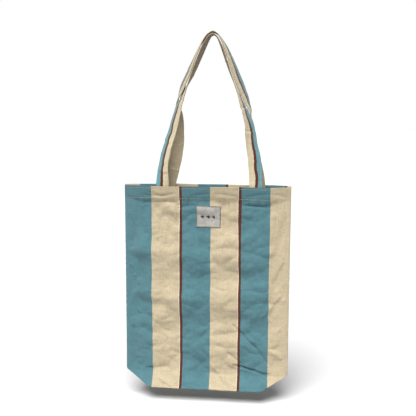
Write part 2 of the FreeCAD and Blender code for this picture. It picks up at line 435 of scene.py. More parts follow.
def label_material():
    """Pale grey woven label with a row of three small lozenges across it."""
    n = new_material("label_cloth")
    _, x, y = n.cloth()
    pitch, reach = 11.5 * MM, 5.0 * MM
    cell = n.minus(n.math("MODULO", n.plus(x, 20.5 * pitch), pitch), pitch / 2)
    away = n.plus(n.math("ABSOLUTE", cell), n.math("ABSOLUTE", n.times(y, 1.2)))
    mark = n.ramp(away, reach - 0.3 * MM, reach, 1.0, 0.0)
    inside = n.ramp(n.math("ABSOLUTE", x), 1.45 * pitch, 1.5 * pitch, 1.0, 0.0)
    mark = n.times(mark, inside)
    colour = n.mix(mark, LABEL_GROUND, LABEL_MARK)
    aside = n.minus(LABEL_WIDE / 2, n.math("ABSOLUTE", x))
    above = n.minus(LABEL_TALL / 2, n.math("ABSOLUTE", y))
    border = n.math("MINIMUM", aside, above)
    # Painted shade: a dark line round the label's edge.
    colour = n.mix(n.ramp(border, 0.7 * MM, 1.5 * MM, 1.0, 0.0), colour, LABEL_EDGE_SHADE)
    sewn = n.math("ABSOLUTE", n.minus(border, LABEL_INSET))
    # Painted shade: darker cloth along the stitched dip.
    colour = n.mix(n.ramp(sewn, 0.2 * MM, 0.9 * MM, 0.55, 0.0), colour, LABEL_SEAM_SHADE)
    woven(n, colour, LABEL_YARNS, LABEL_GRAIN)
    return n.owner


# ---- the bag's resting shape ----
# u runs across the cloth from its middle, v down from the hem's top edge. Front is side -1,
# back is side 1. Sizes are in metres unless a comment says millimetres.


def wall_shape(s, share, side):
    """A point of the wall; s is -1 to 1 across, share 0 at the hem to 1 at the fold level."""
    depth = bag["mouth"] + (FOLD_DEPTH - bag["mouth"]) * share
    bow = 1 - np.abs(s) ** 6
    top = bag["top"][side]
    x = bag["x"] + s * bag["half"]
    y = side * (SEAM_GAP + (depth - SEAM_GAP) * bow)
    z = top + (bag["fold"] - top) * share
    return np.stack([x + 0 * y, y, z + 0 * y], axis=-1)


def band_shape(s, share, side):
    """The leaning band from the fold level down to the base's front edge."""
    upper = wall_shape(s, 1.0 + 0 * share, side)
    flat = np.clip(np.abs(s), 0, 1)
    round_off = 1.5 * MM * smoothstep(flat, 0.97, 1.0)
    lower = np.stack([
        bag["x"] + s * bag["foot_half"],
        side * (bag["foot_depth"] - round_off),
        bag["foot"] + round_off + 0 * s,
    ], axis=-1)
    share = share[..., None]
    return upper + (lower - upper) * share


def base_shape(s, share, side):
    """Half of the base, folded up inside from the front edge to the bottom seam."""
    low = band_shape(s, 1.0 + 0 * share, side)
    high = np.stack([
        bag["x"] + s * bag["seam_half"],
        side * SEAM_GAP + 0 * s,
        bag["seam_z"] + 0 * s,
    ], axis=-1)
    turn = 3.4 * MM * smoothstep(share, 0, 0.1) * (1 - share)
    share = share[..., None]
    return low + (high - low) * share + np.stack([0 * turn, -side * turn, -0.3 * turn], axis=-1)


def corner_shape(t, w, side, end):
    """The corner folded inside: t from the fold's end to the base corner, w from fold to seams."""
    s = np.full_like(t, end)
    edge = band_shape(s, t, side)
    seam_low = base_shape(s, 1.0 + 0 * t, side)
    q = wall_shape(s, 1.0 + 0 * t, side)
    seam = q + (seam_low - q) * t[..., None]
    w = w[..., None]
    return edge + (seam - edge) * w


# ---- cloth simulation of the whole body ----
STEPS = 40                  # how long the cloth hangs, in frames
FARTHEST = 6 * MM           # the most that any point of the cloth moves
ACROSS, DOWN, BAND_ROWS, BASE_ROWS, CORNER_ROWS = 61, 68, 9, 9, 9
FLAT_PATCHES = {
    "wall": (wall_shape, DOWN),
    "band": (band_shape, BAND_ROWS),
    "base": (base_shape, BASE_ROWS),
}


def patches(side):
    """The sewn-together patches of one cut, each as a grid of points."""
    s = np.linspace(-1, 1, ACROSS)
    grids = {}
    for patch, (shape, count) in FLAT_PATCHES.items():
        grids[patch] = shape(*np.meshgrid(s, np.linspace(0, 1, count)), side)
    t, w = np.meshgrid(np.linspace(0, 1, BAND_ROWS), np.linspace(0, 1, CORNER_ROWS), indexing="ij")
    grids["corner_left"] = corner_shape(t, w, side, -1.0)
    grids["corner_right"] = corner_shape(t, w, side, 1.0)
    return grids


def flat_seam(point):
    """A point at a seam, moved to the middle plane, where both cuts have it."""
    return point * (1, 0, 1) if abs(point[1]) < SEAM_GAP + 0.1 * MM else point


def sewn_together(grids):
    """One mesh of all the patches: points, faces, and each patch's grid of point numbers."""
    found, points, faces, index = {}, [], [], {}
    for key, grid in grids.items():
        high, wide = grid.shape[:2]
        ids = np.zeros((high, wide), int)
        for i in range(high):
            for j in range(wide):
                point = flat_seam(grid[i, j])
                place = tuple(np.round(point / (0.05 * MM)).astype(int))
                if place not in found:
                    found[place] = len(points)
                    points.append(point)
                ids[i, j] = found[place]
        index[key] = ids
        for i in range(high - 1):
            for j in range(wide - 1):
                ring = [ids[i, j], ids[i + 1, j], ids[i + 1, j + 1], ids[i, j + 1]]
                ring = [a for k, a in enumerate(ring) if a != ring[k - 1]]
                if len(ring) > 2:
                    faces.append(ring[::-1] if key[0] > 0 else ring)
    return points, faces, index


def hold_body(obj, start):
    """Holds the hem and the folded bottom firmly, and the side seams more than the cloth between."""
    held = obj.vertex_groups.new(name="held")
    drop = bag["top"][-1] - start[:, 2]
    edge = np.abs(start[:, 0] - bag["x"]) / bag["half"]
    weight = np.where(drop < HEM, 1.0, 0.05 + 0.75 * smoothstep(edge, 0.9, 0.99))
    weight = np.maximum(weight, smoothstep(drop, WALL - 130 * MM, WALL + 4 * MM))
    for i, w in enumerate(weight):
        held.add([i], float(w), "REPLACE")


def add_cloth(obj):
    """Limp canvas, cut a little larger than the space it hangs in."""
    cloth = obj.modifiers.new("cloth", "CLOTH")
    settings = cloth.settings
    settings.quality = 6
    settings.mass = 0.35
    settings.tension_stiffness = 40
    settings.compression_stiffness = 40
    settings.shear_stiffness = 15
    settings.bending_stiffness = 2.0
    settings.vertex_group_mass = "held"
    settings.pin_stiffness = 0.6
    settings.shrink_min = settings.shrink_max = -0.009
    cloth.collision_settings.use_collision = False
    cloth.point_cache.frame_start, cloth.point_cache.frame_end = 1, STEPS


def add_draught():
    """Uneven moving air, which stirs the cloth out of its flat start."""
    bpy.ops.object.effector_add(type="TURBULENCE", location=(0, -0.2, bag["fold"]))
    wind = bpy.context.object
    wind.field.strength = 1.6
    wind.field.size = 0.16
    wind.field.noise = 0.0
    wind.field.seed = 4
    return wind


def simulate_body():
    """How far each point of each patch moves when the sewn bag hangs from its hem."""
    grids = {(side, k): g for side in (-1, 1) for k, g in patches(side).items()}
    points, faces, index = sewn_together(grids)
    obj = mesh_object("cloth_run", points, faces)
    start = np.array(points)
    hold_body(obj, start)
    add_cloth(obj)
    wind = add_draught()
    scene = bpy.context.scene
    scene.frame_start, scene.frame_end = 1, STEPS
    for step in range(1, STEPS + 1):
        scene.frame_set(step)
    shown = obj.evaluated_get(bpy.context.evaluated_depsgraph_get())
    mesh = shown.to_mesh()
    moved = np.array([v.co for v in mesh.vertices], float) - start
    shown.to_mesh_clear()
    bpy.data.objects.remove(wind)
    bpy.data.objects.remove(obj)
    scene.frame_set(1)
    length = np.maximum(np.linalg.norm(moved, axis=1, keepdims=True), 1e-9)
    moved *= np.tanh(length / FARTHEST) * FARTHEST / length
    print("cloth moved, mm:", np.round(length.mean() / MM, 2), np.round(length.max() / MM, 2))
    out = {key: moved[ids] for key, ids in index.items()}
    low = smoothstep(np.arange(DOWN), 0.6 * DOWN, 0.8 * DOWN)[:, None, None]
    for side in (-1, 1):
        wall = out[side, "wall"]
        eased = wall
        for _ in range(6):
            eased = smoothed(smoothed(eased, 1), 1, axis=1)
        out[side, "wall"] = wall + (eased - wall) * low
    return out


settled = simulate_body()


# ---- creases and soft waves ----
# A crease: from u, v to u, v, how deep, how wide, in millimetres; u from the bag's middle,
# v down from the hem's top edge. Negative depth stands up as a ridge.
FRONT_CREASES = [
    (-176, 31, -138, 33, 2.6, 4),
    (-158, 46, -118, 31, 2.4, 4),
    (-132, 19, -66, 14, 2.2, 4),
    (-124, 12, -84, 21, 1.8, 4),
    (-114, 34, -64, 33, 2.2, 4),
    (-30, 20, 8, 15, 1.4, 4),
    (20, 15, 66, 21, 1.6, 4),
    (80, 38, 132, 41, 2.6, 4),
    (126, 37, 178, 39, 3.2, 4),
    (84, 20, 128, 13, 1.6, 5),
    (140, 14, 172, 22, 1.8, 5),
    (-60, 47, -20, 40, 1.2, 4),
    (-178, 409, -118, 403, 3.2, 3),
    (178, 412, 124, 407, 3.6, 3),
    (136, 411, 62, 390, 3.4, 3),
    (60, 300, 112, 352, 2.2, 4),
    (104, 342, 140, 392, 1.6, 5),
    (150, 352, 174, 340, 1.8, 4),
    (48, 362, 76, 386, 1.8, 5),
    (-110, 420, -62, 452, -1.8, 5),
    (-114, 414, -70, 428, 1.2, 4),
    (18, 398, 62, 436, -1.8, 7),
    (10, 418, 58, 452, 1.4, 6),
    (84, 300, 120, 330, -1.2, 8),
    (132, 352, 172, 380, -1.4, 8),
    (-60, 250, -10, 300, 0.8, 9),
    (60, 130, 176, 152, 1.2, 12),
    (10, 214, 52, 222, 0.9, 6),
]
BACK_CREASES = [
    (-176, 36, -90, 33, 2.0, 5),
    (60, 34, 150, 40, 1.8, 5),
    (-178, 411, -110, 404, 2.6, 3),
    (178, 411, 96, 402, 2.6, 3),
    (-80, 380, -20, 430, -1.6, 7),
    (30, 300, 100, 352, 1.4, 7),
    (-140, 200, -40, 216, 1.0, 12),
    (40, 120, 150, 140, 1.0, 12),
]
# Soft horizontal waves left by folding and hanging: middle height, half height, depth, slope.
FRONT_WAVES = [
    (82, 22, 1.6, 0.03),
    (146, 20, -2.0, 0.04),
    (196, 20, 2.4, -0.05),
    (246, 18, -2.0, 0.06),
    (300, 20, 1.8, -0.08),
    (348, 20, -1.6, 0.05),
]
BACK_WAVES = [
    (90, 30, 1.4, -0.03),
    (170, 26, -1.8, 0.03),
    (250, 34, 2.0, 0.02),
    (340, 30, -1.6, -0.04),
]
CREASE_GAIN, WAVE_GAIN = 2.1, 2.8       # how much deeper the cloth shows each than its list says
RIDGED = ((84, 4.0), (40, 2.2), (21, 0.8))      # crumples with sharp ridges: size and depth
ROUNDED = (8, 0.2)                              # and the smallest ones, without


def crumple(x, y, seed):
    """Small creases that a washed and folded canvas keeps, in millimetres."""
    def field(scale):
        places = zip((x / scale).flat, (1.25 * y / scale).flat)
        found = [noise.noise(Vector((across, down, seed + scale))) for across, down in places]
        return np.array(found).reshape(x.shape)
    out = sum(depth * (1 - 2.4 * np.abs(field(scale))) for scale, depth in RIDGED)
    scale, depth = ROUNDED
    return out + depth * field(scale)


def relief(u, v, side):
    """How far the cloth stands in from its smooth shape, in metres, at flat coordinates u, v."""
    x, y = u / MM, v / MM
    inward = np.zeros_like(x)
    for x0, y0, x1, y1, depth, wide in FRONT_CREASES if side < 0 else BACK_CREASES:
        along = np.array([x1 - x0, y1 - y0], float)
        length = math.hypot(*along)
        t = ((x - x0) * along[0] + (y - y0) * along[1]) / length**2
        nearest = np.clip(t, 0, 1)
        bend = 0.05 * length * np.sin(math.pi * nearest) * math.sin(x0 * 0.7 + y0)
        px, py = x0 + along[0] * nearest, y0 + along[1] * nearest + bend
        away = np.hypot(x - px, y - py)
        fade = np.sin(math.pi * np.clip(0.12 + 0.76 * nearest, 0, 1)) ** 0.7
        valley = np.exp(-(away / (0.8 * wide)) ** 1.25)
        shape = 1.3 * valley - 0.4 * bell(away, 2.4 * wide)
        inward += CREASE_GAIN * depth * fade * shape
    for middle, half, depth, slope in FRONT_WAVES if side < 0 else BACK_WAVES:
        centre = middle + slope * x + 6 * np.sin(x / 47 + middle)
        strength = 0.55 + 0.45 * np.sin(x / 61 + middle * 1.7)
        inward += WAVE_GAIN * depth * strength * bell(y - centre, half)
    below_hem = smoothstep(y, 14, 40)
    inward += crumple(x, y, 3.1 if side < 0 else 8.4) * (0.3 + 0.7 * below_hem)
    return inward * (0.45 + 0.55 * below_hem) * smoothstep(y, -3, 6) * MM


def hem_relief(u, v):
    """Dips along the hem's two rows of stitches, puckers between them, and the step below it."""
    x, y = u / MM, v / MM
    hem_row, top_row = bag["hem_row"] / MM, bag["top_row"] / MM
    pucker = 0.10 * np.sin(x * 2 * math.pi / 6.5 + 1.5 * np.sin(x / 11))
    inward = (0.45 + pucker) * bell(y - hem_row, 1.3)
    inward += (0.30 + 0.6 * pucker) * bell(y - top_row, 1.2)
    inward += 0.9 * smoothstep(y, hem_row + 0.6, hem_row + 4.5) * (1 - smoothstep(y, 60, 120))
    inward += pucker * bell(y - hem_row - 4, 4.0)
    return inward * MM


def held_relief(u, v, side):
    """All relief, held flat near the side seams and from the base's front edge on."""
    inward = relief(u, v, side) + hem_relief(u, v)
    fade = 1 - smoothstep(v, WALL + BAND - 6 * MM, WALL + BAND + 4 * MM)
    half = bag["half"] + (bag["foot_half"] - bag["half"]) * np.clip((v - WALL) / BAND, 0, 1)
    side_gap = half - np.abs(u)
    edge = 1 - 0.7 * smoothstep(side_gap, 8 * MM, 0)
    lower = smoothstep(v, WALL - 25 * MM, WALL)
    return np.minimum(inward, (0.16 - 0.13 * lower) * side_gap) * fade * edge


# ---- panels ----
FINE = 1.6 * MM             # distance between the rows, and columns, of a panel's points
LEAN = 2.4 * MM             # how far the hem's top edge leans out
SLACK = 5 * MM              # how far the folded corners' inner cloth bulges


def panel_rows():
    """Rows of (patch, share, v) down the cloth's outside, from the hem's top to the bottom seam."""
    rows = [("wall", v / WALL, v) for v in np.arange(0, WALL - FINE / 2, FINE)]
    rows += [("band", t, WALL + t * BAND) for t in np.linspace(0, 1, round(BAND / FINE) + 1)]
    rows += [("base", t, WALL + BAND + t * BASE) for t in np.linspace(0, 1, round(BASE / FINE) + 1)[1:]]
    return rows


def soften_fold(grid, rows, s):
    """Rounds the fold level, least where it is creased, and the base's front edge."""
    creased = (smoothstep(-s, 0.4, 0.7) + smoothstep(s, 0.1, 0.4))[None, :, None]
    sharp, soft = smoothed(grid, 3), smoothed(grid, 60)
    level = np.array([v for _, _, v in rows])
    near = smoothstep(level, WALL - 34 * MM, WALL - 20 * MM)
    near *= 1 - smoothstep(level, WALL + 8 * MM, WALL + BAND - 14 * MM)
    near = near[:, None, None] * (1 - creased)
    keep = 1 - smoothstep(level, WALL - 14 * MM, WALL - 8 * MM)
    keep[-4:] = 1.0     # the last rows stay on the bottom seam
    keep = keep[:, None, None]
    out = grid * keep + sharp * (1 - keep)
    return out * (1 - near) + soft * near


def outside_grid(side):
    """Points, and flat coordinates, of one cut's outer face without its corners."""
    wide = round(2 * bag["half"] / FINE) + 1
    s = np.linspace(-1, 1, wide)
    rows = panel_rows()
    still, moved = [], []
    for patch, share, _ in rows:
        shape, count = FLAT_PATCHES[patch]
        still.append(shape(s, np.full(wide, share), side))
        columns = (s + 1) / 2 * (ACROSS - 1)
        moved.append(sample(settled[side, patch], share * (count - 1), columns)[0])
    still = soften_fold(np.array(still), rows, s)
    u = still[..., 0] - bag["x"]
    v = np.array([row[2] for row in rows])[:, None] + 0 * u
    grid = still + np.array(moved)
    lip = 1 - smoothstep(v, 0, 60 * MM)
    grid[..., 2] += 0.6 * MM * lip * np.sin(u / (23 * MM) + side) * np.sin(u / (61 * MM))
    inward = held_relief(u, v, side)
    grid = grid - outward_normals(grid, side) * inward[..., None]
    lean = np.clip(1 - v / HEM, 0, 1) * (1 - np.abs(s) ** 4)
    grid[..., 1] += side * LEAN * lean
    least = np.minimum(side * still[..., 1], CLOTH + 2.2 * MM)
    clear = side * np.maximum(side * grid[..., 1], least)
    grid[..., 1] = np.where(v < WALL + BAND, clear, grid[..., 1])
    return grid, np.stack([u, v], axis=-1), rows


def turned_hem(grid, side):
    """Rows of the cloth turned over the top edge and down inside, ending at the top edge."""
    count = round(HEM / FINE)
    gap, least = 1.15 * CLOTH, 0.3 * MM
    down = HEM * (1 - np.arange(count) / count)
    rows = sample(grid, down / FINE, np.arange(grid.shape[1], dtype=float))
    rows[..., 1] = side * np.maximum(side * rows[..., 1] - gap, least)
    over = grid[0] + np.array([0, -side * gap * 0.5, gap * 0.45])
    return np.concatenate([rows, over[None]]), np.append(-down, -0.3 * MM)


def make_panel(name, side, material):
    grid, flat, rows = outside_grid(side)
    inner, inner_v = turned_hem(grid, side)
    whole = np.concatenate([inner, grid])
    inner_flat = np.stack([
        np.broadcast_to(flat[0, :, 0], inner.shape[:2]),
        np.broadcast_to(inner_v[:, None], inner.shape[:2]),
    ], axis=-1)
    flats = np.concatenate([inner_flat, flat])
    high, wide = whole.shape[:2]
    points, uv = whole.reshape(-1, 3), flats.reshape(-1, 2)
    faces = grid_faces(high, wide)
    band_start = len(inner) + next(i for i, r in enumerate(rows) if r[0] == "band")
    base_start = len(inner) + next(i for i, r in enumerate(rows) if r[0] == "base")
    for end, column in ((-1.0, 0), (1.0, wide - 1)):
        band_ids = [i * wide + column for i in range(band_start, base_start)]
        base_ids = [i * wide + column for i in range(base_start, high)]
        points, uv, faces = add_corner(points, uv, faces, band_ids, base_ids, end)
    if side > 0:
        faces = [f[::-1] for f in faces]
    obj = mesh_object(name, points, faces, uv)
    thicken(obj, CLOTH)
    finish_piece(obj, material, [name.replace("_cloth", "")])
    return obj, grid, flat


def add_corner(points, uv, faces, band_ids, base_ids, end):
    """The folded-in corner between the band's end and the base's end, sharing their points."""
    high, wide = len(band_ids), len(base_ids) + 1
    t, w = np.meshgrid(np.linspace(0, 1, high), np.linspace(0, 1, wide), indexing="ij")
    t, w = t[..., None], w[..., None]
    edge = points[band_ids][:, None]
    low = points[[band_ids[-1], *base_ids]][None]
    fold_end, corner, seam_end = edge[0, 0], edge[-1, 0], low[0, -1]
    seam = fold_end + (seam_end - fold_end) * t
    grid = edge * (1 - w) + seam * w + (low - corner - (seam_end - corner) * w) * t
    slack = SLACK * np.sin(math.pi * w[..., 0]) * np.sin(math.pi * t[..., 0]) ** 0.6
    grid[..., 1] -= np.sign(corner[1]) * slack
    start = len(points)
    ids = np.zeros((high, wide), int)
    extra, extra_uv = [], []
    corner_uv = np.array((end * bag["half"], WALL + BAND))
    for i in range(high):
        for j in range(wide):
            if j == 0:
                ids[i, j] = band_ids[i]
            elif i == high - 1:
                ids[i, j] = base_ids[j - 1]
            elif i == 0:
                ids[i, j] = band_ids[0]
            else:
                ids[i, j] = start + len(extra)
                extra.append(grid[i, j])
                a = uv[band_ids[i]]
                b = uv[band_ids[0]] * (1 - t[i, 0, 0]) + corner_uv * t[i, 0, 0]
                extra_uv.append(a + (b - a) * w[0, j, 0])
    for i in range(high - 1):
        for j in range(wide - 1):
            ring = [ids[i, j], ids[i, j + 1], ids[i + 1, j + 1], ids[i + 1, j]]
            ring = [int(a) for k, a in enumerate(ring) if a != ring[k - 1]]
            if len(ring) > 2:
                faces.append(tuple(ring if end < 0 else ring[::-1]))
    points = np.concatenate([points, np.array(extra)])
    uv = np.concatenate([uv, np.array(extra_uv)])
    return points, uv, faces


front_cloth = canvas_material("canvas_front", 8.6 * MM - BLUE_WIDE, False)
back_cloth = canvas_material("canvas_back", -38.8 * MM, True)
front_panel, front_grid, front_flat = make_panel("front_panel_cloth", -1, front_cloth)
back_panel, back_grid, back_flat = make_panel("back_panel_cloth", 1, back_cloth)


# ---- stitches ----


def add_stitch(points, faces, line, up, thread):
    """One stitch: a thread that rises out of the cloth and dips back into it."""
    sides, rings = 6, len(line)
    arch = np.sin(np.linspace(0, math.pi, rings))
    line = line + up * ((arch * 0.35 - 0.12) * thread)[:, None]
    beside = np.cross(unit(np.gradient(line, axis=0)), up)
    fat = thread / 2 * (0.55 + 0.45 * arch ** 0.5)
    turn = 2 * math.pi * np.arange(sides) / sides
    aside = beside[:, None] * np.cos(turn)[:, None] * fat[:, None, None]
    above = up[:, None] * np.sin(turn)[:, None] * fat[:, None, None] * 0.8
    start = len(points)
    points.extend((line[:, None] + aside + above).reshape(-1, 3))
    faces += grid_faces(rings, sides, start, close=True)
    faces.append(tuple(range(start, start + sides)))
    faces.append(tuple(reversed(range(len(points) - sides, len(points)))))


STITCH_GAP = 0.75 * MM      # the bare cloth between one stitch and the next


def stitch_mesh(name, runs, thread=0.55 * MM, pitch=3.3 * MM):
    """Rows of separate stitches. A run is a list of (point, outward direction) along a seam."""
    points, faces = [], []
    for path, outward in runs:
        steps = np.linalg.norm(np.diff(path, axis=0), axis=1)
        along = np.concatenate([[0], np.cumsum(steps)])
        count = max(1, int(along[-1] / pitch))
        for k in range(count):
            first = along[-1] * k / count + STITCH_GAP / 2
            last = along[-1] * (k + 1) / count - STITCH_GAP / 2
            where = np.linspace(first, last, 5)
            line = np.stack([np.interp(where, along, path[:, i]) for i in range(3)], axis=1)
            up = np.stack([np.interp(where, along, outward[:, i]) for i in range(3)], axis=1)
            add_stitch(points, faces, line, unit(up), thread)
    return mesh_object(name, points, faces)


def row_on(grid, flat, v, side):
    """A path across a panel at height v, just proud of the cloth, short of the side seams."""
    columns = np.arange(grid.shape[1], dtype=float)
    path = sample(grid, v / FINE, columns)[0]
    up = sample(outward_normals(grid, side), v / FINE, columns)[0]
    keep = np.abs(flat[0, :, 0]) < bag["half"] - 4 * MM
    return path[keep] + up[keep] * 0.15 * MM, up[keep]


cream_thread = thread_material("sewing_thread", THREAD)
for name, grid, flat, side in (("front", front_grid, front_flat, -1), ("back", back_grid, back_flat, 1)):
    for kind in ("hem", "top"):
        row = row_on(grid, flat, bag[kind + "_row"], side)
        piece = stitch_mesh(name + "_" + kind + "_stitches", [row])
        finish_piece(piece, cream_thread, [name + "_" + kind + "_stitching"])


# ---- handles ----
# The straps' stations: height, x, y in millimetres, and how far the strap has turned there.
FRONT_LEFT = [
    (-311.5, -105.5, -14.3, 0), (-275, -103.5, -13.5, 34), (-235, -96, -13, 42), (-195, -84.5, -12.5, 45),
    (-160, -74.5, -12, 50), (-145, -70.3, -11.5, 58), (-130, -63.8, -10.4, 67), (-105, -54.4, -6, 82),
    (-80, -43.5, -2.5, 94), (-50, -31, -0.5, 100), (-25, -20, 0, 101), (-8, -11, 0, 96), (-1.5, -6, 0, 91),
]
FRONT_RIGHT = [
    (-311.5, 92, -14.3, 0), (-265, 89.5, -13.5, 14), (-220, 82.8, -13.5, 38), (-200, 79.5, -13.5, 45),
    (-180, 76, -13.5, 55), (-160, 69, -14, 64), (-140, 61, -11.3, 76), (-120, 53.5, -6.6, 87),
    (-85, 39.2, -2, 95), (-50, 26.8, 0, 99), (-25, 17.8, 0, 99), (-8, 10, 0, 95), (-1.5, 5.5, 0, 91),
]
BACK_LEFT = [
    (-309.5, -95, 14.3, 180), (-275, -86.5, 13.5, 160), (-235, -77.5, 13.5, 150), (-195, -74.5, 14.5, 134),
    (-160, -74.5, 17.5, 112), (-145, -78, 20, 97), (-130, -76.8, 15, 84), (-105, -66.6, 6.4, 66),
    (-80, -53.5, 0.5, 66), (-50, -40.5, -2.5, 74), (-25, -29.5, -2, 79), (-8, -19, -1, 86), (1, -11, 0, 90),
]
BACK_RIGHT = [
    (-309.5, 97, 14.3, 180), (-265, 90, 14, 165), (-220, 80.5, 14.5, 150), (-200, 76, 15.5, 138),
    (-180, 74.5, 18, 115), (-160, 78, 18.5, 93), (-150, 76.8, 15.4, 84), (-140, 72.8, 11.3, 75),
    (-120, 64.5, 6, 65), (-85, 50.2, -0.5, 62), (-50, 36.7, -2.5, 72), (-25, 26.2, -2, 79),
    (-8, 16.5, -1, 86), (1, 10, 0, 90),
]
STRAP_THICK = 2.5 * MM
SEWN = 24 * MM              # how far the strap runs down inside the hem
SEAM_INSET = 3.2 * MM       # the edge stitching's distance from the strap's edge
PER_STEP = 24               # points of the strap from one station to the next
HUG = 0.9                   # how much nearer the middle plane the sewn ends lie
CROSSING = -108             # the height, in millimetres, at which the straps cross on the left


def strap_path(left, right, crown):
    """Middle line, width direction and face direction along a strap, from its left end."""
    def sewn_end(station):
        height, x, y, turn = station
        low = height - SEWN / MM - 1.5
        return [(low, x, HUG * y, turn), (low + 12, x, HUG * y, turn)]

    right = [(z, x, y, 180 - turn) for z, x, y, turn in right]
    stations = sewn_end(left[0]) + left + [(crown, 0, 0, 90)]
    stations += reversed(sewn_end(right[0]) + right)
    stations = np.array(stations, float)
    at = np.linspace(0, len(stations) - 1, (len(stations) - 1) * PER_STEP + 1)
    values = sample(stations[:, None, :], at, 0)[:, 0]
    middle = values[:, [1, 2, 0]] * MM
    turn = np.radians(values[:, 3])
    width = np.stack([np.cos(turn), -np.sin(turn), 0 * turn], axis=1)
    along = unit(np.gradient(middle, axis=0))
    width = unit(width - along * (width * along).sum(1, keepdims=True))
    return middle, width, np.cross(width, along)


def strap_section():
    """The strap's outline across its width: (across, out) in metres, striped face first."""
    half, thick = STRAP / 2, STRAP_THICK / 2
    edge = 0.9 * thick
    across = np.linspace(edge - half, half - edge, 21)
    groove = 0.7 * MM * bell(np.abs(across) - half + SEAM_INSET, 1.1 * MM)
    turn = math.pi * np.arange(1, 5) / 5
    across = np.concatenate([across, half - edge + edge * np.sin(turn)])
    out = np.concatenate([thick - groove, thick * np.cos(turn)])
    return np.concatenate([across, -across]), np.concatenate([out, -out])


def strap_life(length, seed):
    """Unevenness along the strap: cupping, wavy edges, cross creases and a small sway."""
    s = length / MM
    cup = 0.9 * np.sin(s / 41 + seed) + 0.5 * np.sin(s / 17 + 2 * seed)
    wave = 0.45 * np.sin(s / 13 + seed) + 0.35 * np.sin(s / 5.7 + 3 * seed)
    bend = 0.5 * np.sin(s / 23 + 5 * seed) + 0.25 * np.sin(s / 9.5 + seed)
    for k in range(9):
        crease = 45 + 78 * k + 14 * math.sin(3.3 * k + seed)
        depth = 0.8 + 0.7 * math.sin(2.1 * k + 2 * seed) ** 2
        bend += depth * (bell(s - crease, 2.2) - 0.5 * bell(s - crease - 6, 4))
    sway = 0.5 * np.sin(s / 19 + seed) + 0.3 * np.sin(s / 7.3)
    return cup * MM, wave * MM, bend * MM, sway * MM


def make_strap(name, left, right, crown, seed, lip):
    """lip is which edge curls, and how far, where the two straps cross on the left."""
    middle, width, face = strap_path(left, right, crown)
    across, out = strap_section()
    steps = np.linalg.norm(np.diff(middle, axis=0), axis=1)
    length = np.concatenate([[0], np.cumsum(steps)])
    height = middle[:, 2] / MM
    free = smoothstep(np.minimum(length, length[-1] - length), SEWN, SEWN + 40 * MM)
    free *= 1 - 0.7 * smoothstep(height, -160, -120)
    cup, wave, dent, sway = (part * free for part in strap_life(length, seed))

    def lifted(across):
        """How far the strap's middle surface stands out at each place across it."""
        share = across / (STRAP / 2)
        cupped = np.multiply.outer(cup, share**2 - 0.33)
        return cupped + np.multiply.outer(wave, 0.6 * share**3) - dent[:, None]

    crossing = bell(height - CROSSING, 17) * (middle[:, 0] < 0)
    if lip < 0:     # the back strap's edge also leans on the front strap above the crossing
        hem_darker = 0.5 * smoothstep(height, -150, -95) * smoothstep(-height, 12, 30)
        crossing = np.maximum(crossing, hem_darker)
    curl = lip * smoothstep(math.copysign(1, -lip) * across, 4 * MM, STRAP / 2)
    hem = bell(np.abs(across) - STRAP / 2 + 1.6 * MM, 1.2 * MM) * np.sign(out)
    pucker = 0.18 * MM * np.sin(length / MM * 1.9)
    lift = out + lifted(across) + np.outer(pucker, hem) + np.outer(crossing, curl)
    aside = across + sway[:, None]
    points = middle[:, None] + width[:, None] * aside[..., None] + face[:, None] * lift[..., None]
    high, wide = lift.shape
    u = np.where(out > 0, across + STRAP / 2, PLAIN_SIDE + across)
    uv = np.stack(np.broadcast_arrays(u, length[:, None]), axis=-1)
    faces = [f[::-1] for f in grid_faces(high, wide, close=True)]
    faces.append(tuple(range(wide)))
    faces.append(tuple(reversed(range((high - 1) * wide, high * wide))))
    obj = mesh_object(name, points.reshape(-1, 3), faces, uv.reshape(-1, 2))
    rows = []
    inner = slice(PER_STEP, -PER_STEP)
    for place in (SEAM_INSET - STRAP / 2, STRAP / 2 - SEAM_INSET):
        for sign in (1, -1):
            lift = (STRAP_THICK / 2 - 0.6 * MM) * sign + lifted(np.array([place]))
            path = middle + width * place + face * lift
            rows.append((path[inner], face[inner] * sign))
    return obj, rows


strap_cloth = strap_material()
handle_specs = (
    ("front", FRONT_LEFT, FRONT_RIGHT, 1.25, -1, 0.4, 1.8 * MM),
    ("back", BACK_LEFT, BACK_RIGHT, 6.25, 1, 2.1, -1.8 * MM),
)
for name, left, right, crown, side, seed, lip in handle_specs:
    node = name + "_handle"
    strap, rows = make_strap(node + "_strap", left, right, crown, seed, lip)
    ends = [node + "_left_end", node + "_right_end"]
    finish_piece(strap, strap_cloth, [node] + ends, body=None)
    seams = stitch_mesh(node + "_edge_stitches", rows, thread=0.5 * MM, pitch=3.0 * MM)
    finish_piece(seams, cream_thread, [node + "_edge_stitching"], body=None)
    for piece in (strap, seams):
        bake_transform(piece)


# ---- label ----


def on_front(u, v, out):
    """Points at flat coordinates on the front panel, lifted off it, and the way out of it."""
    columns = (u + bag["half"]) / (2 * bag["half"]) * (front_grid.shape[1] - 1)
    places = list(zip(v / FINE, columns))
    normal = outward_normals(front_grid, -1)
    place = np.array([sample(front_grid, *at)[0, 0] for at in places])
    up = np.array([sample(normal, *at)[0, 0] for at in places])
    return place + up * out[:, None], up


def label_lift(a, d):
    """How far the label's outer face stands off the panel: turned edges, stitched dip, puff."""
    edge = np.minimum(LABEL_WIDE / 2 - np.abs(a), LABEL_TALL / 2 - np.abs(d)) / MM
    turned = (a + LABEL_WIDE / 2) / MM, (LABEL_TALL / 2 - d) / MM
    fold = sum(0.45 * smoothstep(4.6 - reach, 0, 0.8) for reach in turned)
    dip = 0.35 * bell(edge - LABEL_INSET / MM, 0.8)
    round_off = 0.5 * bell(edge, 0.6)
    puff = 0.5 * (1 - bell(edge, 6))
    puff = puff + 0.18 * np.sin(a / MM / 6.1 + 1) * np.sin(d / MM / 7.3)
    return (0.75 + fold - dip - round_off + puff) * MM


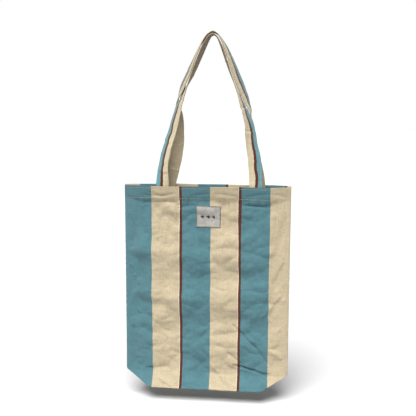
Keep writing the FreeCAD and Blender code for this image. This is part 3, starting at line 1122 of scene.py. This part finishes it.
def make_label():
    """The label, and the four runs of stitches along its edges."""
    low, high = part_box("label")
    tilt = math.radians(1.0)
    centre_u = (low.x + high.x) / 2 - bag["x"]
    centre_v = bag["top"][-1] - (low.z + high.z) / 2
    columns, rows = 45, 39
    across = np.linspace(-LABEL_WIDE / 2, LABEL_WIDE / 2, columns)
    down = np.linspace(-LABEL_TALL / 2, LABEL_TALL / 2, rows)
    a, d = (part.ravel() for part in np.meshgrid(across, down))
    wavy = a + 0.25 * MM * np.sin(d / MM / 5.0)
    u = centre_u + wavy * math.cos(tilt) - d * math.sin(tilt)
    v = centre_v + wavy * math.sin(tilt) + d * math.cos(tilt)
    place, up = on_front(u, v, label_lift(a, d))
    uv = np.stack([a, d], axis=1)
    obj = mesh_object("label_patch", place, grid_faces(rows, columns), uv)
    thicken(obj, 0.7 * MM)
    place, up = place.reshape(rows, columns, 3), up.reshape(rows, columns, 3)

    def span(size, count):
        """Where the stitches of two facing edges lie, in rows or columns."""
        inset = LABEL_INSET / size * (count - 1)
        return inset, count - 1 - inset

    edges = []
    for i in span(LABEL_TALL, rows):
        edges.append((i, np.linspace(*span(LABEL_WIDE, columns), 40)))
    for j in span(LABEL_WIDE, columns):
        edges.append((np.linspace(*span(LABEL_TALL, rows), 40), j))
    runs = [[sample(part, *edge).reshape(-1, 3) for part in (place, up)] for edge in edges]
    return obj, [(p + u * 0.1 * MM, u) for p, u in runs]


label, label_runs = make_label()
finish_piece(label, label_material(), ["label"])
label_stitches = stitch_mesh("label_stitches", label_runs, thread=0.4 * MM, pitch=2.4 * MM)
label_thread = thread_material("label_thread", LABEL_THREAD)
finish_piece(label_stitches, label_thread, ["label_stitching"])


# ---- seam bindings ----


TAPE = 1.0 * MM             # half the distance between a binding's two sides
TAPE_SIDE = [(0.0, 1.0), (0.3, 1.0), (0.7, 0.95), (0.93, 0.7)]     # (depth, half width), as shares


def add_binding(node, first, last, inward, depth):
    """A folded tape over raw edges: a narrow U along a path, its open side at the seam."""
    first, last, inward = (np.array(v, float) for v in (first, last, inward))
    count = max(8, int(np.linalg.norm(last - first) / (3 * MM)))
    beside = np.cross(unit(last - first), inward)
    other_side = [(d, -off) for d, off in reversed(TAPE_SIDE)]
    profile = TAPE_SIDE + [(1.0, 0.0)] + other_side
    points, uv = [], []
    for at in np.linspace(first, last, count):
        s = np.linalg.norm(at - first)
        wave = 0.3 * MM * math.sin(s / (9 * MM)) + 0.15 * MM * math.sin(s / (3.1 * MM))
        for j, (d, off) in enumerate(profile):
            aside = off * TAPE + wave * d * 0.6
            points.append(at + inward * (d * depth + wave * d) + beside * aside)
            uv.append((j * depth / 4, s))
    tape = mesh_object(node + "_tape", points, grid_faces(count, len(profile)), uv)
    thicken(tape, 0.45 * MM, 0.0)
    subdivide = tape.modifiers.new("smooth", "SUBSURF")
    subdivide.levels = subdivide.render_levels = 1
    finish_piece(tape, binding_cloth, [node])


def bind_flat_seam(node):
    """A binding along a level seam, its raw edges standing up."""
    low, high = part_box(node)
    add_binding(node, (low.x, 0, low.z), (high.x, 0, low.z), (0, 0, 1), high.z - low.z)


binding_cloth = binding_material()
for name, direction in (("left", -1), ("right", 1)):
    node = name + "_side_seam_binding"
    low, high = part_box(node)
    outer = low.x if direction < 0 else high.x
    inward = (-direction, 0, 0)
    add_binding(node, (outer, 0, low.z), (outer, 0, high.z), inward, high.x - low.x)
    bind_flat_seam(name + "_corner_seam_binding")
bind_flat_seam("bottom_seam_binding")


# ---- floor, light and camera ----


FLOOR_HALF, FLOOR_BELOW = 40.0, 0.03    # half the floor's width, and its depth below the bag
FLOOR_GREY = 0.6


def stage_floor():
    level = bag["foot"] - FLOOR_BELOW
    corners = [(x * FLOOR_HALF, y * FLOOR_HALF, level) for x, y in ((-1, -1), (1, -1), (1, 1), (-1, 1))]
    floor = mesh_object("floor", corners, [(0, 1, 2, 3)])
    paint = new_material("floor_paint")
    paint.surface("Base Color", (FLOOR_GREY, FLOOR_GREY, FLOOR_GREY, 1))
    paint.surface("Roughness", 0.9)
    floor.data.materials.append(paint.owner)


def studio_walls(scene):
    """White all round, down to the floor and a little above the horizon, and dimmer overhead."""
    world = bpy.data.worlds.new("studio")
    scene.world = world
    n = Nodes(world, "Background")
    height = n.parts(n.add("ShaderNodeTexCoord").outputs["Generated"])[2]
    n.surface("Strength", n.ramp(height, 0.2, 0.3, 1.0, 0.22))
    n.surface("Color", (1, 1, 1, 1))


def key_light(scene):
    """A large soft light, high in front and a little to the left."""
    sun = bpy.data.lights.new("key", "SUN")
    sun.energy = 5.9
    sun.angle = math.radians(40)
    key = bpy.data.objects.new("key", sun)
    key.rotation_euler = Vector((-0.08, -0.50, 0.86)).to_track_quat("Z", "Y").to_euler()
    scene.collection.objects.link(key)


def front_camera(scene):
    camera = bpy.data.cameras.new("camera")
    camera.sensor_width = 36
    camera.lens = 56.25
    obj = bpy.data.objects.new("camera", camera)
    azimuth, elevation, roll = math.radians(6.22), math.radians(7.65), math.radians(0.27)
    level = math.cos(elevation)
    back = Vector((math.sin(azimuth) * level, -math.cos(azimuth) * level, math.sin(elevation)))
    target, distance = Vector((-9.7, 0, -359.6)) * MM, 1.387
    obj.location = target + back * distance
    obj.rotation_mode = "QUATERNION"
    obj.rotation_quaternion = Quaternion(back, roll) @ back.to_track_quat("Z", "Y")
    scene.collection.objects.link(obj)
    scene.camera = obj
    scene.view_settings.view_transform = "Standard"
    scene.view_settings.look = "None"


stage_floor()
studio_walls(bpy.context.scene)
key_light(bpy.context.scene)
front_camera(bpy.context.scene)
